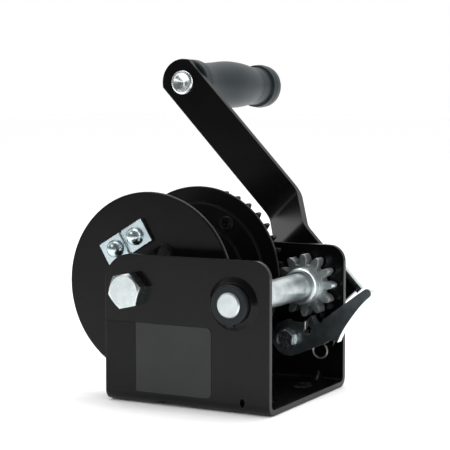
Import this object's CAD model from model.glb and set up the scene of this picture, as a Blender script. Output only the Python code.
import math

import bpy
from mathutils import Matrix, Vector


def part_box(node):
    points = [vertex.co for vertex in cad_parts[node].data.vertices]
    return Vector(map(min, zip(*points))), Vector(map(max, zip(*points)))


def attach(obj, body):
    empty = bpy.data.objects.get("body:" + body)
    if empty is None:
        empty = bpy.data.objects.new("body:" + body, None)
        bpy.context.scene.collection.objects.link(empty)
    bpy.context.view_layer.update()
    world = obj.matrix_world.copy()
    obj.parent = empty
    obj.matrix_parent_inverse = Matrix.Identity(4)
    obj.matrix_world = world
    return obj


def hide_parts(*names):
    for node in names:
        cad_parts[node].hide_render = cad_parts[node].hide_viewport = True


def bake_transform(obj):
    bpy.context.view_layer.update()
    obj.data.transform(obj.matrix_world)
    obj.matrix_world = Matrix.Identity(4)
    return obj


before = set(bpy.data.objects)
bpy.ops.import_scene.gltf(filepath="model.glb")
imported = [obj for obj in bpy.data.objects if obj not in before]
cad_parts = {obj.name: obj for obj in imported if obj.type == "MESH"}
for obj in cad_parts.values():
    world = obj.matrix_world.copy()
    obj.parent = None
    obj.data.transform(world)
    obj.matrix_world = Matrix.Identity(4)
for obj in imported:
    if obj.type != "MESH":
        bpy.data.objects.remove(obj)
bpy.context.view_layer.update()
scene = bpy.context.scene
scene.view_settings.view_transform = "Standard"


# ---- floor ------------------------------------------------------------------------------
# A seamless white paper sweep, laid flat under the winch. It ends a metre in front of it,
# so low faces mirror the white paper and high ones mirror the darker room.
def deselect_all():
    if bpy.context.object and bpy.context.object.mode != "OBJECT":
        bpy.ops.object.mode_set(mode="OBJECT")
    bpy.ops.object.select_all(action="DESELECT")


def place_in_mesh(piece, name):
    """Name a new piece, and move its place, turn and size into its mesh."""
    deselect_all()
    piece.select_set(True)
    bpy.context.view_layer.objects.active = piece
    bpy.ops.object.transform_apply(location=True, rotation=True, scale=True)
    piece.name = name
    piece.data.name = name
    return piece


class Value:
    """A shader socket that can stand in a Python expression."""

    def __init__(self, recipe, socket):
        self.recipe = recipe
        self.socket = socket

    def maths(self, operation, *values):
        return self.recipe.node("ShaderNodeMath", {"operation": operation}, dict(enumerate(values)))

    def __add__(self, other):
        return self.maths("ADD", self, other)

    def __radd__(self, other):
        return self.maths("ADD", other, self)

    def __sub__(self, other):
        return self.maths("SUBTRACT", self, other)

    def __rsub__(self, other):
        return self.maths("SUBTRACT", other, self)

    def __mul__(self, other):
        return self.maths("MULTIPLY", self, other)

    def __rmul__(self, other):
        return self.maths("MULTIPLY", other, self)

    def __lt__(self, other):
        return self.maths("LESS_THAN", self, other)

    def size(self):
        return self.maths("ABSOLUTE", self)

    def clamped(self):
        return self.maths("MINIMUM", self.maths("MAXIMUM", self, 0.0), 1.0)


class Recipe:
    """A node tree that is written as calls and Python expressions."""

    def __init__(self, tree):
        self.tree = tree

    def node(self, kind, settings=None, inputs=None, output=0):
        """Add any node: its settings first, then the values or links of its sockets."""
        node = self.tree.nodes.new(kind)
        for setting, value in (settings or {}).items():
            if setting == "stops":
                self.set_stops(node.color_ramp, value)
            else:
                setattr(node, setting, value)
        for socket, value in (inputs or {}).items():
            self.feed(node.inputs[socket], value)
        return Value(self, node.outputs[output])

    def set_stops(self, ramp, stops):
        while len(ramp.elements) < len(stops):
            ramp.elements.new(0.5)
        for element, (position, colour) in zip(ramp.elements, stops):
            element.position = position
            element.color = (*colour, 1.0)

    def feed(self, socket, value):
        if isinstance(value, Value):
            self.tree.links.new(value.socket, socket)
        else:
            socket.default_value = value

    def axis(self, place, name):
        return self.node("ShaderNodeSeparateXYZ", inputs={"Vector": place}, output=name)


class Finish(Recipe):
    """A node material. The shader's constants are given by socket name."""

    def __init__(self, name, constants):
        self.material = bpy.data.materials.new(name)
        self.material.use_nodes = True
        super().__init__(self.material.node_tree)
        self.shader = self.tree.nodes["Principled BSDF"]
        for socket, value in constants.items():
            self.shader.inputs[socket].default_value = value

    def set(self, socket, value):
        """Send a varying value to one of the shader's own sockets."""
        self.feed(self.shader.inputs[socket], value)

    def place(self):
        """Object coordinates, in metres."""
        return self.node("ShaderNodeTexCoord", output="Object")

    def noise(self, place, scale, detail=3.0, roughness=0.55):
        inputs = {"Vector": place, "Scale": scale, "Detail": detail, "Roughness": roughness}
        return self.node("ShaderNodeTexNoise", inputs=inputs, output="Fac")

    def ramp(self, value, stops):
        return self.node("ShaderNodeValToRGB", {"stops": stops}, {"Fac": value}, "Color")

    def mix(self, factor, first, second):
        """Mix two colours."""
        inputs = {0: factor, 6: self.colour(first), 7: self.colour(second)}
        return self.node("ShaderNodeMix", {"data_type": "RGBA"}, inputs, 2)

    def colour(self, value):
        return value if isinstance(value, Value) else (*value, 1.0)

    def rounded_normal(self, radius):
        """A normal that rounds every sharp edge, as paint and plating do."""
        return self.node("ShaderNodeBevel", {"samples": 6}, {"Radius": radius})

    def edge(self, rounded, gain):
        """1 on sharp edges and 0 on flats, from how far the rounded normal leans."""
        flat = self.node("ShaderNodeNewGeometry", output="Normal")
        inputs = {0: rounded, 1: flat}
        same = self.node("ShaderNodeVectorMath", {"operation": "DOT_PRODUCT"}, inputs, "Value")
        return ((1.0 - same) * gain).clamped()

    def bump(self, height, distance, strength, normal):
        inputs = {"Height": height, "Distance": distance, "Strength": strength, "Normal": normal}
        return self.node("ShaderNodeBump", inputs=inputs)

    def paint(self, *nodes):
        """Put the finish on CAD nodes, whose meshes stay as they are."""
        for name in nodes:
            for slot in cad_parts[name].material_slots:
                slot.material = self.material
        return self

    def cover(self, piece):
        """Make the finish the only material of a new piece."""
        piece.data.materials.clear()
        piece.data.materials.append(self.material)


def floor_paper():
    finish = Finish("floor_paper", {"Roughness": 0.9, "Specular IOR Level": 0.1})
    grain = finish.noise(finish.place(), 60.0)
    finish.set("Base Color", finish.mix(grain, (0.95, 0.95, 0.95), (0.97, 0.97, 0.97)))
    finish.set("Roughness", grain * 0.1 + 0.85)
    return finish


FLOOR_SIZE = 12.0
FLOOR_MIDDLE = (-1.0, 4.95, -0.0004)
deselect_all()
bpy.ops.mesh.primitive_plane_add(size=FLOOR_SIZE, location=FLOOR_MIDDLE)
floor = place_in_mesh(bpy.context.object, "floor")
floor_paper().cover(floor)


# ---- studio light -----------------------------------------------------------------------
# One large overhead softbox a little behind the winch, a tall strip on the right that draws
# the pale lines along folded edges, one on the left that lights the crank's bend, and a
# small one high in front whose patch shows in the domed bolts.
WINCH_MIDDLE = Vector((0.0, 0.0, 0.07))


def softbox(name, size, place, watts):
    deselect_all()
    bpy.ops.object.light_add(type="AREA", location=place)
    lamp = bpy.context.object
    lamp.name = name
    lamp.data.shape = "RECTANGLE"
    lamp.data.size = size[0]
    lamp.data.size_y = size[1]
    lamp.data.energy = watts
    aim = WINCH_MIDDLE - Vector(place)
    lamp.rotation_euler = aim.to_track_quat("-Z", "Y").to_euler()
    lamp.visible_camera = False


softbox("overhead_softbox", (1.3, 1.3), (-0.1, 0.5, 1.5), 13.0)
softbox("right_strip", (0.35, 1.5), (1.5, 0.2, 0.7), 6.0)
softbox("left_softbox", (0.8, 1.0), (-1.6, 0.5, 0.9), 1.7)
softbox("front_softbox", (0.9, 0.6), (-0.9, -1.2, 1.25), 3.0)


def studio_world():
    """An even white tent, with a dim side towards the front that only gloss picks up."""
    world = bpy.data.worlds.new("studio")
    world.use_nodes = True
    sky = Recipe(world.node_tree)
    heading = sky.axis(sky.node("ShaderNodeTexCoord", output="Generated"), "Y")
    tent = sky.node(
        "ShaderNodeMapRange",
        {"interpolation_type": "SMOOTHSTEP"},
        {"Value": heading, "From Min": -0.45, "From Max": 0.35, "To Min": 0.10, "To Max": 0.95},
    )
    gloss = sky.node("ShaderNodeLightPath", output="Is Glossy Ray")
    seen = sky.node("ShaderNodeLightPath", output="Is Camera Ray")
    strength = tent * gloss + (1.0 - gloss) * 1.05
    sky.feed(world.node_tree.nodes["Background"].inputs["Strength"], seen + (1.0 - seen) * strength)
    world.node_tree.nodes["Background"].inputs["Color"].default_value = (1.0, 1.0, 1.0, 1.0)
    return world


scene.world = studio_world()


# ---- camera -----------------------------------------------------------------------------
# A long lens at the height of the crank's middle, to the right of the front plate.
deselect_all()
bpy.ops.object.camera_add(
    location=(0.3860, -0.7273, 0.1675), rotation=(math.radians(84.98), 0, math.radians(28.09))
)
camera = bpy.context.object
camera.data.lens = 117.7
camera.data.sensor_width = 36.0
camera.data.clip_start = 0.01
scene.camera = camera


# ---- frame, crank arm and drum: black powder coat ---------------------------------------
# Folded and pressed steel, baked with black powder. The coat flows into a faint orange peel,
# thins on sharp edges and gathers a little dust.
def powder_coat(name, roughness, peel, gloss=0.19):
    constants = {"Specular IOR Level": gloss, "Coat Roughness": 0.12, "Coat IOR": 1.4}
    finish = Finish(name, constants)
    place = finish.place()
    rounded = finish.rounded_normal(0.0006)
    edge = finish.edge(rounded, 5.0)
    cloud = finish.noise(place, 28.0, 4.0)
    speck = finish.noise(place, 1400.0, 2.0)
    dust = ((finish.noise(place, 420.0, 6.0, 0.7) - 0.62) * 8.0).clamped()
    base = finish.ramp(cloud, [(0.3, (0.0014, 0.0014, 0.0016)), (0.75, (0.0030, 0.0030, 0.0032))])
    worn = finish.mix(edge * 0.35, base, (0.045, 0.045, 0.048))
    finish.set("Base Color", finish.mix(dust * 0.05, worn, (0.20, 0.20, 0.20)))
    finish.set("Roughness", (cloud - 0.5) * 0.10 + roughness + dust * 0.08 + speck * 0.03)
    finish.set("Coat Weight", cloud * 0.08)
    waves = finish.noise(place, peel, 1.5)
    finish.set("Normal", finish.bump(waves, 0.00006, 0.35, rounded))
    return finish


powder_coat("frame_paint", 0.20, 700.0).paint("frame")
powder_coat("crank_paint", 0.24, 620.0, 0.16).paint("crank_arm")
powder_coat("drum_paint", 0.28, 520.0).paint(
    "front_flange", "rear_flange", "drum_core", "gear_rivets"
)
powder_coat("gear_paint", 0.36, 560.0).paint("drum_gear")


# ---- label ------------------------------------------------------------------------------
# A blank two-tone film on the front plate: a black strip and a dark grey panel, both
# printed under a satin skin and pressed on by hand.
def label_film(name, dark, light, gloss):
    finish = Finish(name, {"Specular IOR Level": gloss, "Coat Roughness": 0.25})
    place = finish.place()
    cloud = finish.noise(place, 40.0, 5.0)
    screen = finish.noise(place, 2600.0, 1.0)
    finish.set("Base Color", finish.ramp(cloud, [(0.35, dark), (0.7, light)]))
    finish.set("Roughness", 0.34 + screen * 0.12)
    finish.set("Coat Weight", cloud * 0.06)
    finish.set("Normal", finish.bump(screen, 0.00003, 0.3, finish.rounded_normal(0.0003)))
    return finish


GREY_FILM = ((0.0175, 0.0185, 0.019), (0.022, 0.023, 0.0235))
DARK_FILM = ((0.0016, 0.0016, 0.0018), (0.0028, 0.0028, 0.003))
label_film("label_grey", *GREY_FILM, 0.30).paint("label_panel")
label_film("label_dark", *DARK_FILM, 0.20).paint("label_strip")


# ---- bolts, nuts, washers and the cable clamp: bright zinc ------------------------------
# Steel in a thin bright zinc plate with a blue passivate. Pressed faces keep fine handling
# scratches, and the plate clouds where it was rinsed.
def zinc_plate(name, roughness, scratch=0.2, tint=(0.63, 0.69, 0.69), cut=None):
    """cut is the colour of the edges that were cut along Y, where it differs from the faces."""
    finish = Finish(name, {"Metallic": 1.0})
    place = finish.place()
    rounded = finish.rounded_normal(0.0003)
    cloud = finish.noise(place, 160.0, 5.0)
    fine = finish.noise(place, 1800.0, 4.0, 0.7)
    inputs = {"Vector": place, "Scale": (900.0, 1400.0, 3200.0)}
    lines = finish.noise(finish.node("ShaderNodeMapping", inputs=inputs), 1.0, 2.0)
    bright = tuple(min(1.0, channel * 1.14) for channel in tint)
    dull = tuple(channel * 0.82 for channel in tint)
    plate = finish.ramp(cloud, [(0.3, dull), (0.7, bright)])
    if cut:
        normal = finish.node("ShaderNodeNewGeometry", output="Normal")
        plate = finish.mix(finish.axis(normal, "Y").size() < 0.6, plate, cut)
    finish.set("Base Color", plate)
    finish.set("Roughness", (cloud - 0.5) * 0.18 + roughness + fine * 0.08)
    height = fine * 0.6 + lines * 0.4
    finish.set("Normal", finish.bump(height, 0.00004, scratch, rounded))
    return finish


fastener_zinc = zinc_plate("fastener_zinc", 0.22)
fastener_zinc.paint(
    "drum_washer", "drum_nut", "drum_sleeve", "pawl_washer", "pawl_nut", "pawl_bush",
    "crank_washer", "crank_nut", "crank_spacer", "grip_washer", "thrust_washer"
)
zinc_plate("clamp_zinc", 0.22, 0.2, (0.66, 0.78, 0.82)).paint(
    "cable_clamp", "clamp_bolts", "clamp_nuts"
)
zinc_plate("bracket_zinc", 0.24).paint("crank_bracket")
zinc_plate("pin_zinc", 0.24, 0.2, (0.88, 0.99, 1.0)).paint("grip_pin")
CUT_EDGE = (0.84, 0.90, 0.91)
zinc_plate("pinion_zinc", 0.32, 0.6, (0.56, 0.61, 0.61), CUT_EDGE).paint("pinion")
zinc_plate("pawl_zinc", 0.30, 0.3, (0.27, 0.31, 0.325), CUT_EDGE).paint("pawl")
shaft_zinc = zinc_plate("shaft_zinc", 0.28, 0.2, (0.66, 0.72, 0.72))


# ---- threaded ends of the bolts and of the shaft ------------------------------------------
# Rolled V threads, plated with the rest of the bolt. Each stands a turn or two proud of its
# nut, and starts inside it.
def cut_copy(node, name, start):
    """A merged copy of a CAD node that ends at y = start."""
    deselect_all()
    copy = bpy.data.objects.new(name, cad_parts[node].data.copy())
    scene.collection.objects.link(copy)
    copy.select_set(True)
    bpy.context.view_layer.objects.active = copy
    bpy.ops.mesh.customdata_custom_splitnormals_clear()
    bpy.ops.object.mode_set(mode="EDIT")
    bpy.ops.mesh.select_all(action="SELECT")
    bpy.ops.mesh.remove_doubles(threshold=0.000001)
    bpy.ops.mesh.select_all(action="SELECT")
    bpy.ops.mesh.bisect(plane_co=(0, start, 0), plane_no=(0, 1, 0), use_fill=True, clear_outer=True)
    bpy.ops.object.mode_set(mode="OBJECT")
    return copy


def thread(radius, pitch, start, end, x, z):
    """A helical V ridge wound about the Y line through (x, z), closed at both ends."""
    deselect_all()
    tip = pitch / math.sqrt(3)
    bpy.ops.mesh.primitive_circle_add(
        vertices=3, radius=tip, location=(radius - tip, 0, 0),
        rotation=(0, math.radians(-90), math.radians(-90))
    )
    ridge = place_in_mesh(bpy.context.object, "thread")
    root = min(vertex.co.x for vertex in ridge.data.vertices) + tip / 2
    bpy.ops.object.mode_set(mode="EDIT")
    bpy.ops.mesh.select_mode(type="EDGE")
    bpy.ops.mesh.select_all(action="DESELECT")
    bpy.ops.object.mode_set(mode="OBJECT")
    for edge in ridge.data.edges:
        edge.select = all(ridge.data.vertices[index].co.x < root for index in edge.vertices)
    bpy.ops.object.mode_set(mode="EDIT")
    bpy.ops.mesh.delete(type="EDGE")
    bpy.ops.object.mode_set(mode="OBJECT")
    screw = ridge.modifiers.new("screw", "SCREW")
    screw.axis = "Z"
    screw.screw_offset = pitch
    screw.iterations = math.ceil((end - start) / pitch) + 2
    screw.steps = 36
    screw.render_steps = 36
    screw.use_merge_vertices = True
    screw.merge_threshold = 0.000002
    bpy.ops.object.modifier_apply(modifier=screw.name)
    ridge.rotation_euler = (math.radians(-90), 0, 0)
    ridge.location = (x, start - pitch, z)
    place_in_mesh(ridge, "thread")
    bpy.ops.object.mode_set(mode="EDIT")
    bpy.ops.mesh.select_all(action="SELECT")
    bpy.ops.mesh.remove_doubles(threshold=0.000002)
    for height, side in ((start, -1), (end, 1)):
        bpy.ops.mesh.select_all(action="SELECT")
        bpy.ops.mesh.bisect(
            plane_co=(0, height, 0), plane_no=(0, side, 0), use_fill=True, clear_outer=True
        )
    bpy.ops.mesh.select_all(action="SELECT")
    bpy.ops.mesh.normals_make_consistent(inside=False)
    bpy.ops.object.mode_set(mode="OBJECT")
    return ridge


# Radius and pitch of each thread.
M12 = (0.006, 0.00175)
M6 = (0.003, 0.0010)
NUT_OVERLAP = 0.0006
RIDGE_OVERLAP = 0.0004


def threaded(node, nut, radius, pitch, body, finish, slot):
    """Stand a threaded copy in for a CAD bolt, from inside its nut to its tip."""
    nut_low, nut_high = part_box(nut)
    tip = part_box(node)[1][1]
    x = (nut_low[0] + nut_high[0]) / 2
    z = (nut_low[2] + nut_high[2]) / 2
    start = nut_high[1] - NUT_OVERLAP
    piece = cut_copy(node, node + "_threaded", start)
    ridge = thread(radius, pitch, start - RIDGE_OVERLAP, tip, x, z)
    deselect_all()
    ridge.select_set(True)
    piece.select_set(True)
    bpy.context.view_layer.objects.active = piece
    bpy.ops.object.join()
    bpy.ops.object.shade_smooth_by_angle(angle=math.radians(28))
    finish.cover(piece)
    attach(piece, body)
    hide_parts(node)


threaded("drum_bolt", "drum_nut", *M12, "frame", fastener_zinc, "fastener_zinc")
threaded("pawl_bolt", "pawl_nut", *M6, "frame", fastener_zinc, "fastener_zinc")
threaded("drive_shaft", "crank_nut", *M12, "crank", shaft_zinc, "shaft_zinc")


# ---- bushes and grip: black plastic -------------------------------------------------------
# Moulded nylon bushes and a moulded satin grip. Both have a fine spark-eroded grain from
# the mould, and the grip shows the line where its two halves of mould met.
SEAM_WIDTH = 0.00025


def moulded_plastic(name, dark, light, roughness, grain, gloss, seam=None):
    """seam is the height at which the two halves of the mould met."""
    constants = {"Specular IOR Level": gloss, "Specular Tint": (0.84, 0.97, 1.0, 1.0)}
    finish = Finish(name, constants)
    place = finish.place()
    cloud = finish.noise(place, 55.0, 4.0)
    texture = finish.noise(place, grain, 3.0, 0.6)
    finish.set("Base Color", finish.ramp(cloud, [(0.3, dark), (0.7, light)]))
    finish.set("Roughness", (cloud - 0.5) * 0.12 + roughness)
    height = texture
    if seam:
        ridge = 1.0 - ((finish.axis(place, "Z") - seam).size() * (1.0 / SEAM_WIDTH)).clamped()
        height = texture + ridge * 1.5
    finish.set("Normal", finish.bump(height, 0.00005, 0.35, finish.rounded_normal(0.0005)))
    return finish


moulded_plastic(
    "bush_plastic", (0.005, 0.0055, 0.0065), (0.009, 0.0095, 0.0105), 0.42, 2400.0, 0.34
).paint("front_shaft_bush", "rear_shaft_bush", "drum_bushes")
grip_low, grip_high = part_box("grip")
moulded_plastic(
    "grip_plastic", (0.0066, 0.0112, 0.0134), (0.0100, 0.0160, 0.0188), 0.38, 2000.0, 0.23,
    (grip_low[2] + grip_high[2]) / 2
).paint("grip")


# ---- pawl spring ----------------------------------------------------------------------------
# Hairpin of drawn spring wire. One leg hooks through the pawl, the wire makes one and a
# third turns behind it, and the other leg is held in the rear plate.
LOOP_START = 180
LOOP_STEP = 30
LOOP_POINTS = 17


def spring_wire():
    radius = 0.00055
    loop = 0.0046
    low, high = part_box("pawl_spring")
    gap = (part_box("pawl")[1][1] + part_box("frame")[1][1] - 0.003) / 2
    centre = Vector((low[0] + 0.0051, gap, low[2] + 0.0051))
    hole = Vector((low[0] - 0.00065, gap, high[2] - 0.0055))
    anchor = Vector((high[0] - radius, gap, hole.z - 0.0011))
    front = low[1] + radius
    points = [
        Vector((hole.x, front, high[2])),
        Vector((hole.x, front, hole.z + 0.0025)),
        Vector((hole.x, front, hole.z)),
        Vector((hole.x, (front + gap) / 2, hole.z - 0.0003)),
        Vector((hole.x, gap - radius, hole.z - 0.0006)),
        Vector((hole.x + 0.0004, gap - radius, hole.z - 0.0040)),
    ]
    for step in range(LOOP_POINTS):
        turn = math.radians(LOOP_START + LOOP_STEP * step)
        layer = gap + radius * (step / 8 - 1)
        points.append(centre + Vector((math.cos(turn) * loop, layer - gap, math.sin(turn) * loop)))
    points += [
        centre + Vector((0.0052, radius, -0.0005)),
        centre + Vector((0.0088, radius, 0.0046)),
        anchor + Vector((-0.0004, radius * 0.5, -0.0015)),
        anchor,
        anchor + Vector((0, 0.0020, 0)),
    ]
    deselect_all()
    bpy.ops.curve.primitive_nurbs_path_add()
    wire = bpy.context.object
    spline = wire.data.splines[0]
    spline.points.add(len(points) - len(spline.points))
    for point, place in zip(spline.points, points):
        point.co = (*place, 1.0)
    spline.order_u = 4
    spline.use_endpoint_u = True
    spline.resolution_u = 8
    wire.data.dimensions = "3D"
    wire.data.bevel_depth = radius
    wire.data.bevel_resolution = 4
    wire.data.use_fill_caps = True
    bpy.ops.object.convert(target="MESH")
    wire = place_in_mesh(bpy.context.object, "pawl_spring_wire")
    zinc_plate("spring_steel", 0.30, 0.3, (0.50, 0.47, 0.42)).paint("pawl_spring").cover(wire)
    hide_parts("pawl_spring")
    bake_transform(wire)


spring_wire()
